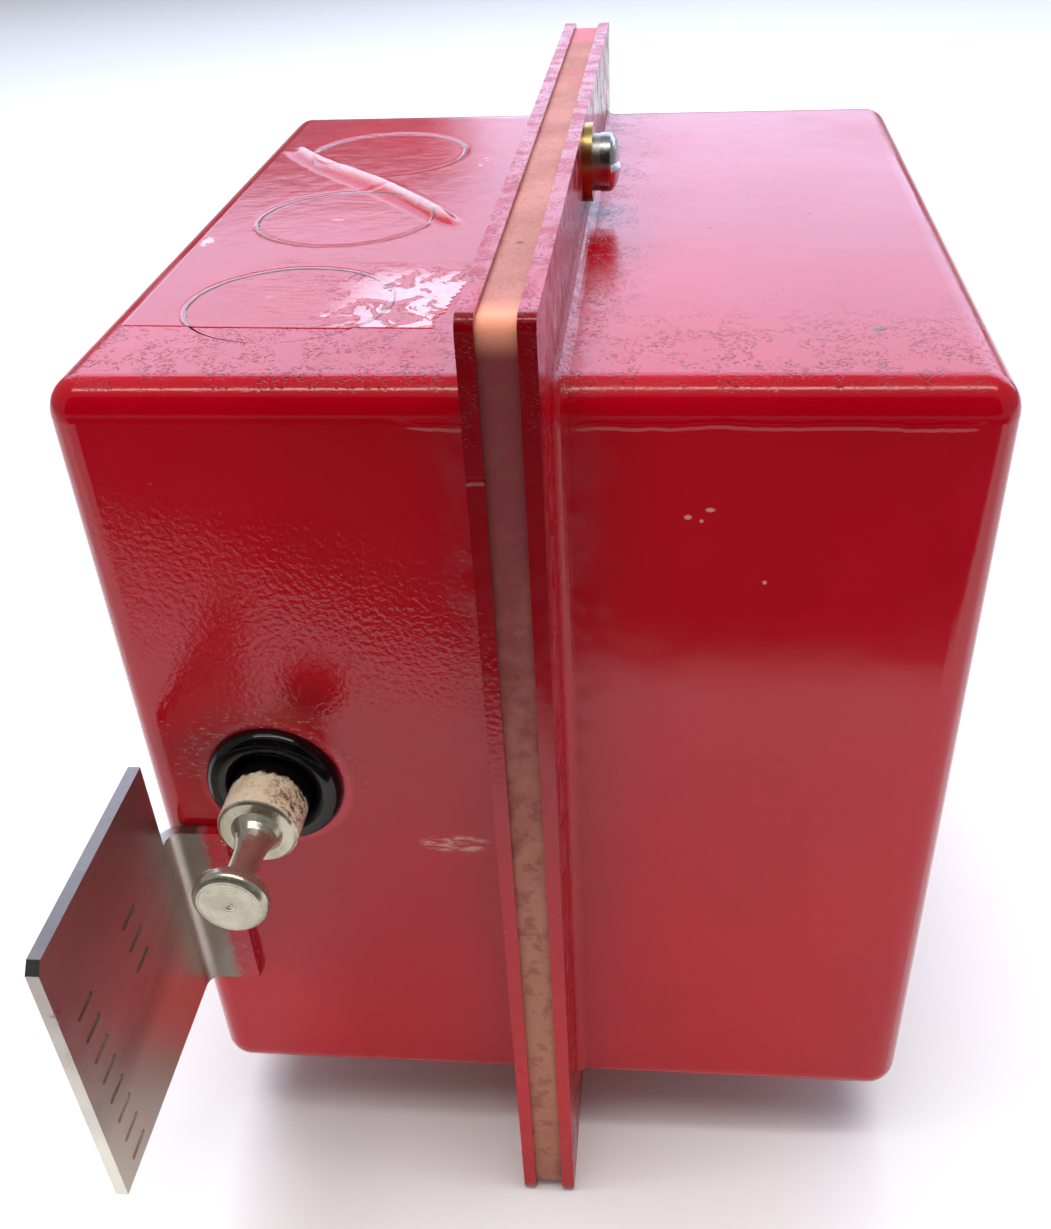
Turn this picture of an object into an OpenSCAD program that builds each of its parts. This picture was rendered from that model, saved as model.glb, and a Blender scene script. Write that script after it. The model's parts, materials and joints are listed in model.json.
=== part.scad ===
// Gas-operated pressure switch in a two-shell gasketed enclosure
// Millimetres. X points away from the wall, Z points up and the front, with the stem, faces -Y.
// The origin is the centre of the face that lies on the wall.

/* [Enclosure] */
// Size of each shell from front to back
shell_w = 105; // [96:0.5:150]
// Height of each shell
shell_h = 100.5; // [88:0.5:140]
// Depth of the base shell, from the wall to the back of its flange
base_depth = 42.5; // [38:0.5:52]
// Depth of the cover shell behind its flange
cover_depth = 42.5; // [30:0.5:80]
// Thickness of the drawn steel sheet
sheet_t = 1.6; // [1.2:0.1:2.2]
// Outside radius of the drawn edges and corners
shell_r = 3.6; // [3:0.1:8]
// Fillet between a shell wall and its flange
root_r = 1.4; // [0.8:0.1:2.5]
// How far the flanges stand out past the walls
flange_out = 10.5; // [10:0.5:16]
// Corner radius of the flanges
flange_corner_r = 1.5; // [0.5:0.1:6]
// Thickness of the rubber gasket
gasket_t = 3.5; // [2:0.1:6]
// How far the gasket's edge stays back from the flange edges
gasket_inset = 0.6; // [0.2:0.1:1.5]

/* [Knockouts] */
// Diameter of a knockout, half-inch trade size
ko_d = 22.2; // [18:0.1:24]
// Distance between neighbouring knockouts
ko_pitch = 29.5; // [27:0.5:31]
// Shift of the row towards the front
ko_shift = 1; // [0:0.5:3]
// Distance of the row from the wall
ko_x = 19.5; // [17:0.5:21]
// Width of the sheared groove round a slug
ko_gap = 0.35; // [0.2:0.05:0.8]
// Radius of the tie that holds a slug
ko_tie_r = 1.8; // [1:0.1:2.5]
// How far a slug is set in below the outer face
ko_sink = 0.1; // [0:0.05:0.8]

/* [Cover screws] */
// Thread diameter of the cover screws
screw_d = 3.5; // [3:0.5:4]
// Distance of a cover screw from the shell wall
screw_out = 5.8; // [5.4:0.1:6.2]
// Diameter of the screw head
screw_head_d = 6.6; // [6:0.1:7.5]
// Height of the screw head
screw_head_h = 2.3; // [1.8:0.1:3.5]
// Outer diameter of the flat washer
washer_d = 8.8; // [8:0.1:9]
// Thickness of the flat washer
washer_t = 1; // [0.6:0.1:1.4]
// Outer diameter of the spring lock washer
lock_d = 6.4; // [5.6:0.1:7]
// Thickness of the spring lock washer
lock_t = 0.9; // [0.6:0.1:1.2]

/* [Stem] */
// Distance of the stem's axis from the wall
stem_x = 15.7; // [15:0.1:17]
// Height of the stem's axis over the middle of the shell
stem_z = 2.2; // [-2:0.1:6]
// Diameter of the stem's collar
collar_d = 9; // [8:0.1:10]
// How far the collar stands out of the front wall when the switch is set
collar_out = 8.4; // [5:0.1:12]
// Smallest diameter of the waist behind the knob
waist_d = 3.2; // [3:0.1:5]
// Diameter of the knob
knob_d = 8.2; // [7:0.1:12]
// Length of the knob
knob_len = 2.4; // [2.2:0.1:8]
// Distance from the front wall to the knob's face when the switch is set
knob_out = 19.5; // [17:0.1:26]
// Travel of the stem from set to operated
travel = 12.5; // [11.5:0.1:13]
// Diameter of the rod inside the enclosure
rod_d = 5; // [4:0.5:6]

/* [Grommet] */
// Outer diameter of the grommet's dome
grommet_d = 15.8; // [15:0.1:18]
// Height of the dome over the front wall
grommet_h = 1.9; // [1.4:0.1:2.4]
// Diameter of the hole in the front wall
grommet_hole_d = 12.1; // [11.4:0.1:13]

/* [Indicator plate] */
// Thickness of the plate
plate_t = 1.4; // [1:0.1:2]
// Distance of the plate's outer face from the wall plane
plate_x = 0.5; // [0.3:0.1:1]
// How far the plate reaches in front of the front wall
plate_reach = 32.8; // [28:0.2:40]
// Height of the plate
plate_h = 37.3; // [32:0.1:44]
// Height of the foot that is welded to the front wall
foot_h = 25.3; // [20:0.1:28]
// Distance of the lower edge below the middle of the shell
plate_drop = 30.25; // [26:0.25:34]
// Distance from the wall plane to the far edge of the foot
foot_end = 8.5; // [7.6:0.1:8.8]
// Inside radius of the bend
bend_r = 1.5; // [1:0.1:2.5]
// Depth of the stamped marks
mark_depth = 0.3; // [0.1:0.05:0.5]

/* [Actuator] */
// Bore of the gas cylinder
bore_d = 14; // [12:0.5:15]
// Wall of the gas cylinder
barrel_t = 3; // [2:0.5:3.5]
// Length of the piston
piston_len = 7; // [6:0.5:8]
// Diameter of the inlet's tapped hole
inlet_d = 11.1; // [8.5:0.1:11.2]
// Depth of the inlet's tapped hole
inlet_depth = 9; // [7:0.5:10]
// Diameter of the threaded spigot through the rear wall
spigot_d = 16; // [15:0.5:18]
// How far the spigot stands out of the rear wall
spigot_out = 12; // [10:0.5:16]

/* [Switch] */
// Distance of the toggle's pivot from the stem's axis
pivot_reach = 28.3; // [27.5:0.1:29]
// Length of the toggle lever from its pivot to its ball
lever_len = 20; // [19.5:0.1:20.5]
// Width of the switch body along the stem
body_w = 44; // [42:1:50]
// Height of the switch body
body_h = 44; // [42:1:50]
// Depth of the switch body
body_depth = 28; // [27:0.5:32]
// Distance between neighbouring poles
pole_pitch = 12; // [11.5:0.5:12.5]

/* [Wall holes] */
// Diameter of the four mounting holes
wall_hole_d = 6; // [5.8:0.1:7]
// Distance between them from front to back
wall_hole_w = 76; // [60:1:84]
// Distance between them from bottom to top
wall_hole_h = 72; // [66:1:76]

/* [Hidden] */
$fn = 72;

// A cut reaches this far past the face it goes through
past = 1;
// Diametral clearance of a pin or rod in the hole it moves in
run_fit = 0.12;
// Radial clearance of a fixed screw or sleeve in its hole
fixed_gap = 0.02;
// Diametral clearance of a hole that a screw or barrel passes loosely
loose_fit = 0.3;
// Length by which two solids of one piece lap
lap = 0.2;
// Share of a screw head's height that is a straight rim
rim_share = 0.4;

// Planes of the enclosure
front = -shell_w / 2;
rear = shell_w / 2;
base_flange_x = base_depth;
gasket_x = base_flange_x + sheet_t;
cover_flange_x = gasket_x + gasket_t;
cover_wall_x = cover_flange_x + sheet_t;
total_depth = cover_wall_x + cover_depth;
flange_w = shell_w + 2 * flange_out;
flange_h = shell_h + 2 * flange_out;
inner_w = shell_w - 2 * sheet_t;
inner_h = shell_h - 2 * sheet_t;
inner_r = shell_r - sheet_t;

// Knockout positions from front to back and the direction of each tie
ko_rows = [-1, 0, 1];
ko_tie_turn = [-90, -90, 180];

// Cover screws, one on the top ridge and one on the bottom ridge
screw_z = shell_h / 2 + screw_out;
screw_end_x = base_flange_x + 0.2;
head_x = cover_wall_x + washer_t + lock_t;
clear_d = screw_d + 0.5;
slot_w = 0.9;
slot_deep = 1;
lock_split = 0.6;

// Grommet's inner bead
bead_d = grommet_d - 0.8;
bead_t = 1.8;

// Stem's waist and knob
waist_steps = 12;
waist_flare = 0.85;
waist_shift = 1.15;
knob_back_r = 1.1;
knob_rim_r = 0.9;
collar_edge = 0.4;
centre_mark_r = 0.8;
centre_mark_deep = 0.12;

// Two brackets whose legs carry the bush, the cylinder and the strap
frame_t = 1.6;
frame_w = 34;
frame_x = sheet_t;
frame_front = front + 14.5;
frame_rear = rear - 26.5;
leg_top = stem_x + 16.7;
tab_len = 9;
tab_w = 18;
frame_screw_d = 4;
frame_screw_head_d = 7;
frame_screw_head_h = 2.2;
foot_len = 14;
frame_screw_in = 9;
strap_screw_in = 5.4;
strap_screw_ys = [frame_front + strap_screw_in, frame_rear - strap_screw_in];
frame_screw_ys = [frame_front + frame_screw_in, frame_rear - frame_screw_in];
frame_screw_zs = [-11, 11];

// Guide bush in the front leg
bush_r = collar_d / 2 + 1;
bush_flange_r = bush_r + 1.9;
bush_flange_t = 2;
bush_front = 6;

// Gas cylinder in the rear wall
barrel_r = bore_d / 2 + barrel_t;
seat_y = rear - sheet_t;
seat_t = 3;
seat_share = 0.61;
seat_r = barrel_r + seat_share * (stem_x - sheet_t - barrel_r);
bore_end = seat_y - 4.1;
passage_d = 4;
seal_t = 0.8;
seal_r = 12;
lock_nut_r = 12.5;
lock_nut_t = 6;

// Piston at the rear end of its stroke, with its ring and nut
nut_t = 4;
nut_r = 4.6;
end_gap = 1.3;
nut_rear = bore_end - end_gap;
piston_rear = nut_rear - nut_t;
piston_front = piston_rear - piston_len;
barrel_front = piston_front - travel - 2;
ring_side = 0.1;
ring_tube = 0.9;
piston_r = bore_d / 2 - 0.05;
ring_r = bore_d / 2 - 0.04 - ring_tube;

// Stem, measured outwards from the front wall
shoulder = frame_front - front + frame_t + bush_flange_t + travel - 0.1;
rod_end = nut_rear - front + 0.5;
waist_front = knob_out - knob_len;

// Toggle: its pivot lies behind the middle of the yoke's travel
pivot_x = stem_x + pivot_reach;
pivot_y = -6;
lever_angle = asin(travel / 2 / lever_len);
ball_r = 2.6;
lever_root_r = 2.3;
lever_tip_r = 1.6;
drum_r = 4;
drum_len = 33;
pin_d = 3;
blade_t = 1.2;
blade_w = 6;
blade_in = 3;
blade_out = 10.5;
contact_at = 9;
contact_r = 1.5;
contact_h = 0.8;
poles = [-1, 0, 1];
sides = [-1, 1];

// Drive yoke, its middle over the ball when the switch is set
yoke_y = pivot_y + travel / 2;
yoke_len = 11;
yoke_h = 12;
yoke_back = 6;
yoke_face = 4.5;
prong_t = 2.2;
prong_reach = 11.3;
prong_step = 1;
slot_gap = 0.35;
set_screw_d = 3;
socket_r = 0.9;
socket_deep = 1.2;

// Switch body behind the strap
strap_t = 1.6;
body_x = leg_top + strap_t;
body_end = body_x + body_depth;
floor_t = 6;
cavity_w = 22;
cavity_h = 34;
rib_h = 5;
rib_t = 2;
strip_t = 1;
contact_gap = 0.5;
strip_y = (contact_at + contact_r) * sin(lever_angle) + (blade_t / 2 + contact_h) * cos(lever_angle) + contact_gap + contact_h;
strip_w = 6;
strip_start = pivot_x + drum_r + 0.5;
terminal_y = 14;
terminal_w = 8;
terminal_end = 19;
terminal_screw_d = 3.5;
terminal_head_d = 6.4;
terminal_head_h = 2.2;
small_screw_d = 3;
small_head_d = 5.6;
small_head_h = 1.8;
screw_tail = 1.5;
switch_thread = 8;
pilot_deep = 10;
switch_screw_y = 16.5;
strap_w = 40;
lever_slot_w = 2 * ((pivot_x - leg_top) * tan(lever_angle) + lever_root_r + 0.9);
lever_slot_h = 9;

// Over-centre spring between the drum and the floor of the switch body
spring_z = 6;
spring_r = 1.5;
spring_gap = 0.35;
spring_wire = 0.25;
spring_turns = 6;
spring_sides = 6;
spring_step = 16;

// Earthing screw below the frame
earth_z = -30;
earth_y = 12;
earth_head_d = 7;
earth_head_h = 2.4;
earth_washer_d = 9;
earth_washer_t = 0.9;

// Stamped marks: one long row of ticks near the front edge and one short row
tick_w = 0.8;
tick_len = 3;
tick_pitch = 3.4;
long_row_y = front - 27.9;
long_row_ticks = 8;
long_row_z = -28;
short_row_y = front - 15.3;
short_row_ticks = 3;
short_row_z = -11.4;
corner_cut = 1.6;
// Gap between the plate's upper part and the bend
relief = 0.6;

// Points of an arc from angle a0 to a1 round a centre
function arc(centre, radius, a0, a1, steps) = [
    for (i = [0:steps])
        let (a = a0 + (a1 - a0) * i / steps)
            [centre[0] + radius * cos(a), centre[1] + radius * sin(a)]
];

// Section of the fillet between wall and flange, lapped a little into both
root_lap = 0.3;
root_outline = concat(
    [[-root_lap, -root_r]],
    arc([root_r, -root_r], root_r, 180, 90, 6),
    [[root_r, root_lap], [-root_lap, root_lap]]
);

// ---- Helpers ----

// Round bar of diameter d from the origin along +X
module bar_x(d, len) {
    rotate([0, 90, 0])
        cylinder(d = d, h = len);
}

// Round bar of diameter d from the origin along +Y
module bar_y(d, len) {
    rotate([-90, 0, 0])
        cylinder(d = d, h = len);
}

// Outline with round corners in the YZ plane, w wide and h high, from the origin along +X
module slab_x(w, h, r, len) {
    rotate([90, 0, 90])
        linear_extrude(height = len)
            union() {
                square([w - 2 * r, h], center = true);
                square([w, h - 2 * r], center = true);
                for (sy = sides, sz = sides)
                    translate([sy * (w / 2 - r), sz * (h / 2 - r)])
                        circle(r = r);
            }
}

// Solid of a drawn shell: its closed end at x = 0 has round edges and corners
module drawn_solid(w, h, r, len) {
    translate([r, 0, 0])
        slab_x(w, h, r, len - r);
    translate([0, r - w / 2, r - h / 2])
        cube([r + past, w - 2 * r, h - 2 * r]);
    for (s = sides) {
        translate([r, r - w / 2, s * (h / 2 - r)])
            bar_y(2 * r, w - 2 * r);
        translate([r, s * (w / 2 - r), r - h / 2])
            cylinder(r = r, h = h - 2 * r);
        for (t = sides)
            translate([r, s * (w / 2 - r), t * (h / 2 - r)])
                sphere(r = r);
    }
}

// Concave fillet that runs round a shell wall, ending on the flange plane x = len
module root_fillet(len) {
    translate([len, 0, 0])
        rotate([0, 90, 0])
            for (s = [0, 1]) {
                mirror([s, 0, 0])
                    translate([shell_h / 2, 0, 0])
                        rotate([90, 0, 0])
                            linear_extrude(height = shell_w - 2 * shell_r, center = true)
                                polygon(root_outline);
                mirror([0, s, 0])
                    translate([0, shell_w / 2, 0])
                        rotate([90, 0, 90])
                            linear_extrude(height = shell_h - 2 * shell_r, center = true)
                                polygon(root_outline);
                for (t = [0, 1])
                    mirror([s, 0, 0])
                        mirror([0, t, 0])
                            translate([shell_h / 2 - shell_r, shell_w / 2 - shell_r, 0])
                                rotate_extrude(angle = 90)
                                    translate([shell_r, 0])
                                        polygon(root_outline);
            }
}

// Drawn shell with its flange, closed end at x = 0
module flanged_shell(len) {
    difference() {
        union() {
            drawn_solid(shell_w, shell_h, shell_r, len + sheet_t);
            root_fillet(len);
            translate([len, 0, 0])
                slab_x(flange_w, flange_h, flange_corner_r, sheet_t);
        }
        translate([sheet_t, 0, 0])
            drawn_solid(inner_w, inner_h, inner_r, len + past);
    }
}

// Flat ring along +X
module ring_x(outer_d, inner_d, len) {
    difference() {
        bar_x(outer_d, len);
        translate([-past, 0, 0])
            bar_x(inner_d, len + 2 * past);
    }
}

// Slotted screw along X: its head's underside at x = 0, its shank towards -X
module slotted_screw(d, len, head_d, head_h) {
    rim = rim_share * head_h;
    steps = 8;
    dome = [
        for (i = [0:steps])
            let (a = 90 * i / steps)
                [head_d / 2 * cos(a), rim + (head_h - rim) * sin(a)]
    ];
    difference() {
        rotate([0, 90, 0])
            rotate_extrude()
                polygon(concat([[0, -len], [d / 2, -len], [d / 2, 0], [head_d / 2, 0]], dome));
        translate([head_h - slot_deep, -head_d, -slot_w / 2])
            cube([slot_deep + past, 2 * head_d, slot_w]);
    }
}

// ---- Enclosure ----

module knockout_holes() {
    for (i = [0:2])
        translate([ko_x, ko_rows[i] * ko_pitch - ko_shift, shell_h / 2 - 2 * sheet_t]) {
            cylinder(d = ko_d, h = 3 * sheet_t);
            rotate([0, 0, ko_tie_turn[i]])
                translate([ko_d / 2, 0, 0])
                    cylinder(r = ko_tie_r, h = 3 * sheet_t);
        }
}

module base_shell() {
    color([0.62, 0.03, 0.07])
        difference() {
            flanged_shell(base_depth);
            knockout_holes();
            translate([stem_x, front - past, stem_z])
                bar_y(grommet_hole_d, sheet_t + 2 * past);
            translate([stem_x, seat_y - past, stem_z])
                bar_y(spigot_d + 2 * fixed_gap, sheet_t + 2 * past);
            for (s = sides) {
                translate([base_flange_x - past, 0, s * screw_z])
                    bar_x(screw_d + 2 * fixed_gap, sheet_t + 2 * past);
                for (t = sides)
                    translate([-past, s * wall_hole_w / 2, t * wall_hole_h / 2])
                        bar_x(wall_hole_d, sheet_t + 2 * past);
            }
            for (y = frame_screw_ys, z = frame_screw_zs)
                translate([-past, y, stem_z + z])
                    bar_x(frame_screw_d + 2 * fixed_gap, sheet_t + 2 * past);
            translate([-past, earth_y, earth_z])
                bar_x(screw_d + 2 * fixed_gap, sheet_t + 2 * past);
        }
}

module cover_shell() {
    color([0.62, 0.03, 0.07])
        difference() {
            translate([total_depth, 0, 0])
                mirror([1, 0, 0])
                    flanged_shell(cover_depth);
            for (s = sides)
                translate([cover_flange_x - past, 0, s * screw_z])
                    bar_x(clear_d, sheet_t + 2 * past);
        }
}

module flange_gasket() {
    color([0.62, 0.46, 0.33])
        translate([gasket_x, 0, 0])
            difference() {
                slab_x(flange_w - 2 * gasket_inset, flange_h - 2 * gasket_inset, flange_corner_r, gasket_t);
                translate([-past, 0, 0])
                    slab_x(inner_w, inner_h, inner_r, gasket_t + 2 * past);
                for (s = sides)
                    translate([-past, 0, s * screw_z])
                        bar_x(clear_d, gasket_t + 2 * past);
            }
}

module knockout_slugs() {
    color([0.66, 0.05, 0.09])
        for (i = [0:2])
            translate([ko_x, ko_rows[i] * ko_pitch - ko_shift, shell_h / 2 - sheet_t - ko_sink]) {
                cylinder(d = ko_d - 2 * ko_gap, h = sheet_t);
                rotate([0, 0, ko_tie_turn[i]])
                    translate([ko_d / 2, 0, 0])
                        cylinder(r = ko_tie_r, h = sheet_t);
            }
}

module cover_screws() {
    color([0.78, 0.77, 0.74])
        for (s = sides)
            translate([head_x, 0, s * screw_z])
                slotted_screw(screw_d, head_x - screw_end_x, screw_head_d, screw_head_h);
}

module cover_flat_washers() {
    color([0.74, 0.56, 0.24])
        for (s = sides)
            translate([cover_wall_x, 0, s * screw_z])
                ring_x(washer_d, clear_d, washer_t);
}

module cover_lock_washers() {
    color([0.6, 0.6, 0.58])
        for (s = sides)
            translate([cover_wall_x + washer_t, 0, s * screw_z])
                difference() {
                    ring_x(lock_d, screw_d + loose_fit, lock_t);
                    translate([-past, 0, -lock_split / 2])
                        cube([lock_t + 2 * past, lock_d, lock_split]);
                }
}

module earth_screw() {
    color([0.1, 0.45, 0.2])
        translate([sheet_t + earth_washer_t, earth_y, earth_z])
            slotted_screw(screw_d, sheet_t + earth_washer_t, earth_head_d, earth_head_h);
}

module earth_washer() {
    color([0.74, 0.56, 0.24])
        translate([sheet_t, earth_y, earth_z])
            ring_x(earth_washer_d, screw_d + 2 * fixed_gap, earth_washer_t);
}

// ---- Stem and indicator ----

module stem_grommet() {
    tube = (grommet_d - collar_d - run_fit) / 4;
    color([0.03, 0.03, 0.035])
        translate([stem_x, front, stem_z])
            difference() {
                union() {
                    intersection() {
                        rotate([90, 0, 0])
                            rotate_extrude()
                                translate([grommet_d / 2 - tube, grommet_h - tube])
                                    circle(r = tube);
                        translate([-grommet_d, -grommet_d, -grommet_d])
                            cube([2 * grommet_d, grommet_d, 2 * grommet_d]);
                    }
                    translate([0, -lap, 0])
                        bar_y(grommet_hole_d - 2 * fixed_gap, sheet_t + 2 * lap);
                    translate([0, sheet_t, 0])
                        bar_y(bead_d, bead_t);
                }
                translate([0, -grommet_d, 0])
                    bar_y(collar_d + run_fit, 2 * grommet_d);
            }
}

// The waist narrows between the collar's end face and the back of the knob
function waist_r(u) = waist_d / 2 + waist_flare * pow(abs(2 * u - waist_shift), 3);

module stem() {
    knob_r = knob_d / 2;
    edge = collar_edge;
    outline = concat(
        [[0, -rod_end], [rod_d / 2 - edge, -rod_end], [rod_d / 2, edge - rod_end]],
        [[rod_d / 2, -shoulder], [collar_d / 2 - edge, -shoulder], [collar_d / 2, edge - shoulder]],
        [[collar_d / 2, collar_out - edge], [collar_d / 2 - edge, collar_out]],
        [for (i = [0:waist_steps])
            let (u = i / waist_steps)
                [waist_r(u), collar_out + (waist_front - collar_out) * u]],
        arc([knob_r - knob_back_r, waist_front + knob_back_r], knob_back_r, -60, 0, 6),
        arc([knob_r - knob_rim_r, knob_out - knob_rim_r], knob_rim_r, 0, 90, 6),
        [[centre_mark_r, knob_out], [0, knob_out - centre_mark_deep]]
    );
    color([0.76, 0.74, 0.68])
        translate([stem_x, front, stem_z])
            rotate([90, 0, 0])
                rotate_extrude()
                    polygon(outline);
}

// Rounded slot cut into the plate's inner face
module tick(y, z) {
    translate([plate_x + plate_t - mark_depth, y, z])
        union() {
            translate([0, -tick_len / 2, -tick_w / 2])
                cube([mark_depth + past, tick_len, tick_w]);
            for (s = sides)
                translate([0, s * tick_len / 2, 0])
                    bar_x(tick_w, mark_depth + past);
        }
}

module indicator_plate() {
    bend_x = plate_x + plate_t + bend_r;
    bend_y = front - plate_t - bend_r;
    top = plate_h - plate_drop;
    color([0.66, 0.63, 0.57])
        difference() {
            union() {
                translate([0, 0, -plate_drop])
                    linear_extrude(height = foot_h)
                        union() {
                            translate([plate_x, front - plate_reach])
                                square([plate_t, plate_reach + bend_y - front]);
                            translate([bend_x, bend_y + bend_r])
                                square([foot_end - bend_x, plate_t]);
                            intersection() {
                                translate([plate_x, bend_y])
                                    square([plate_t + bend_r, plate_t + bend_r]);
                                difference() {
                                    translate([bend_x, bend_y])
                                        circle(r = bend_r + plate_t);
                                    translate([bend_x, bend_y])
                                        circle(r = bend_r);
                                }
                            }
                        }
                translate([plate_x, front - plate_reach, foot_h - plate_drop - past])
                    cube([plate_t, plate_reach + bend_y - front - relief, plate_h - foot_h + past]);
            }
            translate([plate_x - past, front - plate_reach, top])
                rotate([45, 0, 0])
                    translate([0, -corner_cut / 2, -corner_cut / 2])
                        cube([plate_t + 2 * past, corner_cut, corner_cut]);
            for (i = [0:long_row_ticks - 1])
                tick(long_row_y, long_row_z + i * tick_pitch);
            for (i = [0:short_row_ticks - 1])
                tick(short_row_y, short_row_z + i * tick_pitch);
        }
}

// ---- Brackets ----

// Foot on the base shell, upright leg and a tab for the strap, from y = 0 towards +Y
module bracket(hole_d) {
    color([0.7, 0.68, 0.6])
        difference() {
            union() {
                translate([frame_x, 0, stem_z - frame_w / 2])
                    cube([frame_t, foot_len, frame_w]);
                translate([frame_x, 0, stem_z - frame_w / 2])
                    cube([leg_top - frame_x, frame_t, frame_w]);
                translate([leg_top - frame_t, 0, stem_z - tab_w / 2])
                    cube([frame_t, tab_len, tab_w]);
            }
            translate([stem_x, -past, stem_z])
                bar_y(hole_d, frame_t + 2 * past);
            for (z = frame_screw_zs)
                translate([frame_x - past, frame_screw_in, stem_z + z])
                    bar_x(frame_screw_d + loose_fit, frame_t + 2 * past);
            translate([leg_top - frame_t - past, strap_screw_in, stem_z])
                bar_x(small_screw_d + 2 * fixed_gap, frame_t + 2 * past);
        }
}

module front_bracket() {
    translate([0, frame_front, 0])
        bracket(2 * bush_r + 2 * fixed_gap);
}

module rear_bracket() {
    translate([0, frame_rear, 0])
        mirror([0, 1, 0])
            bracket(2 * barrel_r + loose_fit);
}

module frame_screws() {
    color([0.72, 0.7, 0.64])
        for (y = frame_screw_ys, z = frame_screw_zs)
            translate([frame_x + frame_t, y, stem_z + z])
                slotted_screw(frame_screw_d, frame_t + sheet_t, frame_screw_head_d, frame_screw_head_h);
}

module guide_bush() {
    color([0.76, 0.6, 0.3])
        translate([stem_x, frame_front, stem_z])
            difference() {
                union() {
                    translate([0, -bush_front, 0])
                        bar_y(2 * bush_r, bush_front + frame_t + lap);
                    translate([0, frame_t, 0])
                        bar_y(2 * bush_flange_r, bush_flange_t);
                }
                translate([0, -bush_front - past, 0])
                    bar_y(collar_d + run_fit, bush_front + frame_t + bush_flange_t + 2 * past);
            }
}

// ---- Gas actuator ----

module actuator_cylinder() {
    color([0.78, 0.62, 0.32])
        translate([stem_x, 0, stem_z])
            difference() {
                union() {
                    translate([0, barrel_front, 0])
                        bar_y(2 * barrel_r, seat_y - barrel_front);
                    translate([0, seat_y - seat_t, 0])
                        bar_y(2 * seat_r, seat_t);
                    translate([0, seat_y - seat_t, 0])
                        bar_y(spigot_d, seat_t + sheet_t + spigot_out);
                }
                translate([0, barrel_front - past, 0])
                    bar_y(bore_d, bore_end - barrel_front + past);
                translate([0, bore_end - past, 0])
                    bar_y(passage_d, rear + spigot_out - bore_end + past);
                translate([0, rear + spigot_out - inlet_depth, 0])
                    bar_y(inlet_d, inlet_depth + past);
            }
}

module cylinder_sealing_washer() {
    color([0.15, 0.14, 0.13])
        translate([stem_x, rear, stem_z])
            rotate([0, 0, 90])
                ring_x(2 * seal_r, spigot_d + 2 * fixed_gap, seal_t);
}

module cylinder_lock_nut() {
    color([0.78, 0.62, 0.32])
        translate([stem_x, rear + seal_t, stem_z])
            difference() {
                rotate([-90, 0, 0])
                    cylinder(r = lock_nut_r, h = lock_nut_t, $fn = 6);
                translate([0, -past, 0])
                    bar_y(spigot_d + 2 * fixed_gap, lock_nut_t + 2 * past);
            }
}

module piston() {
    groove_w = 2 * (ring_tube + ring_side);
    middle = (piston_front + piston_rear) / 2;
    color([0.76, 0.6, 0.3])
        translate([stem_x, 0, stem_z])
            difference() {
                translate([0, piston_front, 0])
                    bar_y(2 * piston_r, piston_len);
                translate([0, middle - groove_w / 2, 0])
                    difference() {
                        bar_y(bore_d + past, groove_w);
                        translate([0, -past, 0])
                            bar_y(2 * (ring_r - ring_tube), groove_w + 2 * past);
                    }
                translate([0, piston_front - past, 0])
                    bar_y(rod_d + 2 * fixed_gap, piston_len + 2 * past);
            }
}

module piston_ring() {
    color([0.05, 0.05, 0.05])
        translate([stem_x, (piston_front + piston_rear) / 2, stem_z])
            rotate([90, 0, 0])
                rotate_extrude()
                    translate([ring_r, 0])
                        circle(r = ring_tube);
}

module piston_nut() {
    color([0.72, 0.7, 0.66])
        translate([stem_x, piston_rear, stem_z])
            difference() {
                rotate([-90, 0, 0])
                    cylinder(r = nut_r, h = nut_t, $fn = 6);
                translate([0, -past, 0])
                    bar_y(rod_d + 2 * fixed_gap, nut_t + 2 * past);
            }
}

// ---- Drive yoke ----

module drive_yoke() {
    slot_half = ball_r + slot_gap;
    color([0.7, 0.68, 0.62])
        translate([stem_x, yoke_y, stem_z])
            difference() {
                union() {
                    translate([-yoke_back, -yoke_len / 2, -yoke_h / 2])
                        cube([yoke_back + yoke_face, yoke_len, yoke_h]);
                    for (y = [-slot_half - prong_t, slot_half])
                        translate([0, y, prong_step - yoke_h / 2])
                            cube([prong_reach, prong_t, yoke_h - 2 * prong_step]);
                }
                translate([0, -yoke_len, 0])
                    bar_y(rod_d + 2 * fixed_gap, 2 * yoke_len);
                cylinder(d = set_screw_d + 2 * fixed_gap, h = yoke_h);
            }
}

module yoke_set_screw() {
    color([0.25, 0.25, 0.26])
        translate([stem_x, yoke_y, stem_z + rod_d / 2])
            difference() {
                cylinder(d = set_screw_d, h = yoke_h / 2 - rod_d / 2);
                translate([0, 0, yoke_h / 2 - rod_d / 2 - socket_deep])
                    cylinder(r = socket_r, h = socket_deep + past, $fn = 6);
            }
}

// ---- Switch ----

module mounting_strap() {
    color([0.7, 0.68, 0.6])
        difference() {
            union() {
                translate([leg_top, frame_front, stem_z - tab_w / 2])
                    cube([strap_t, frame_rear - frame_front, tab_w]);
                translate([leg_top, pivot_y - body_w / 2, stem_z - strap_w / 2])
                    cube([strap_t, body_w, strap_w]);
            }
            translate([leg_top - past, pivot_y - lever_slot_w / 2, stem_z - lever_slot_h / 2])
                cube([strap_t + 2 * past, lever_slot_w, lever_slot_h]);
            for (y = strap_screw_ys)
                translate([leg_top - past, y, stem_z])
                    bar_x(small_screw_d + loose_fit, strap_t + 2 * past);
            for (s = sides)
                translate([leg_top - past, pivot_y + s * switch_screw_y, stem_z])
                    bar_x(small_screw_d + loose_fit, strap_t + 2 * past);
        }
}

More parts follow.
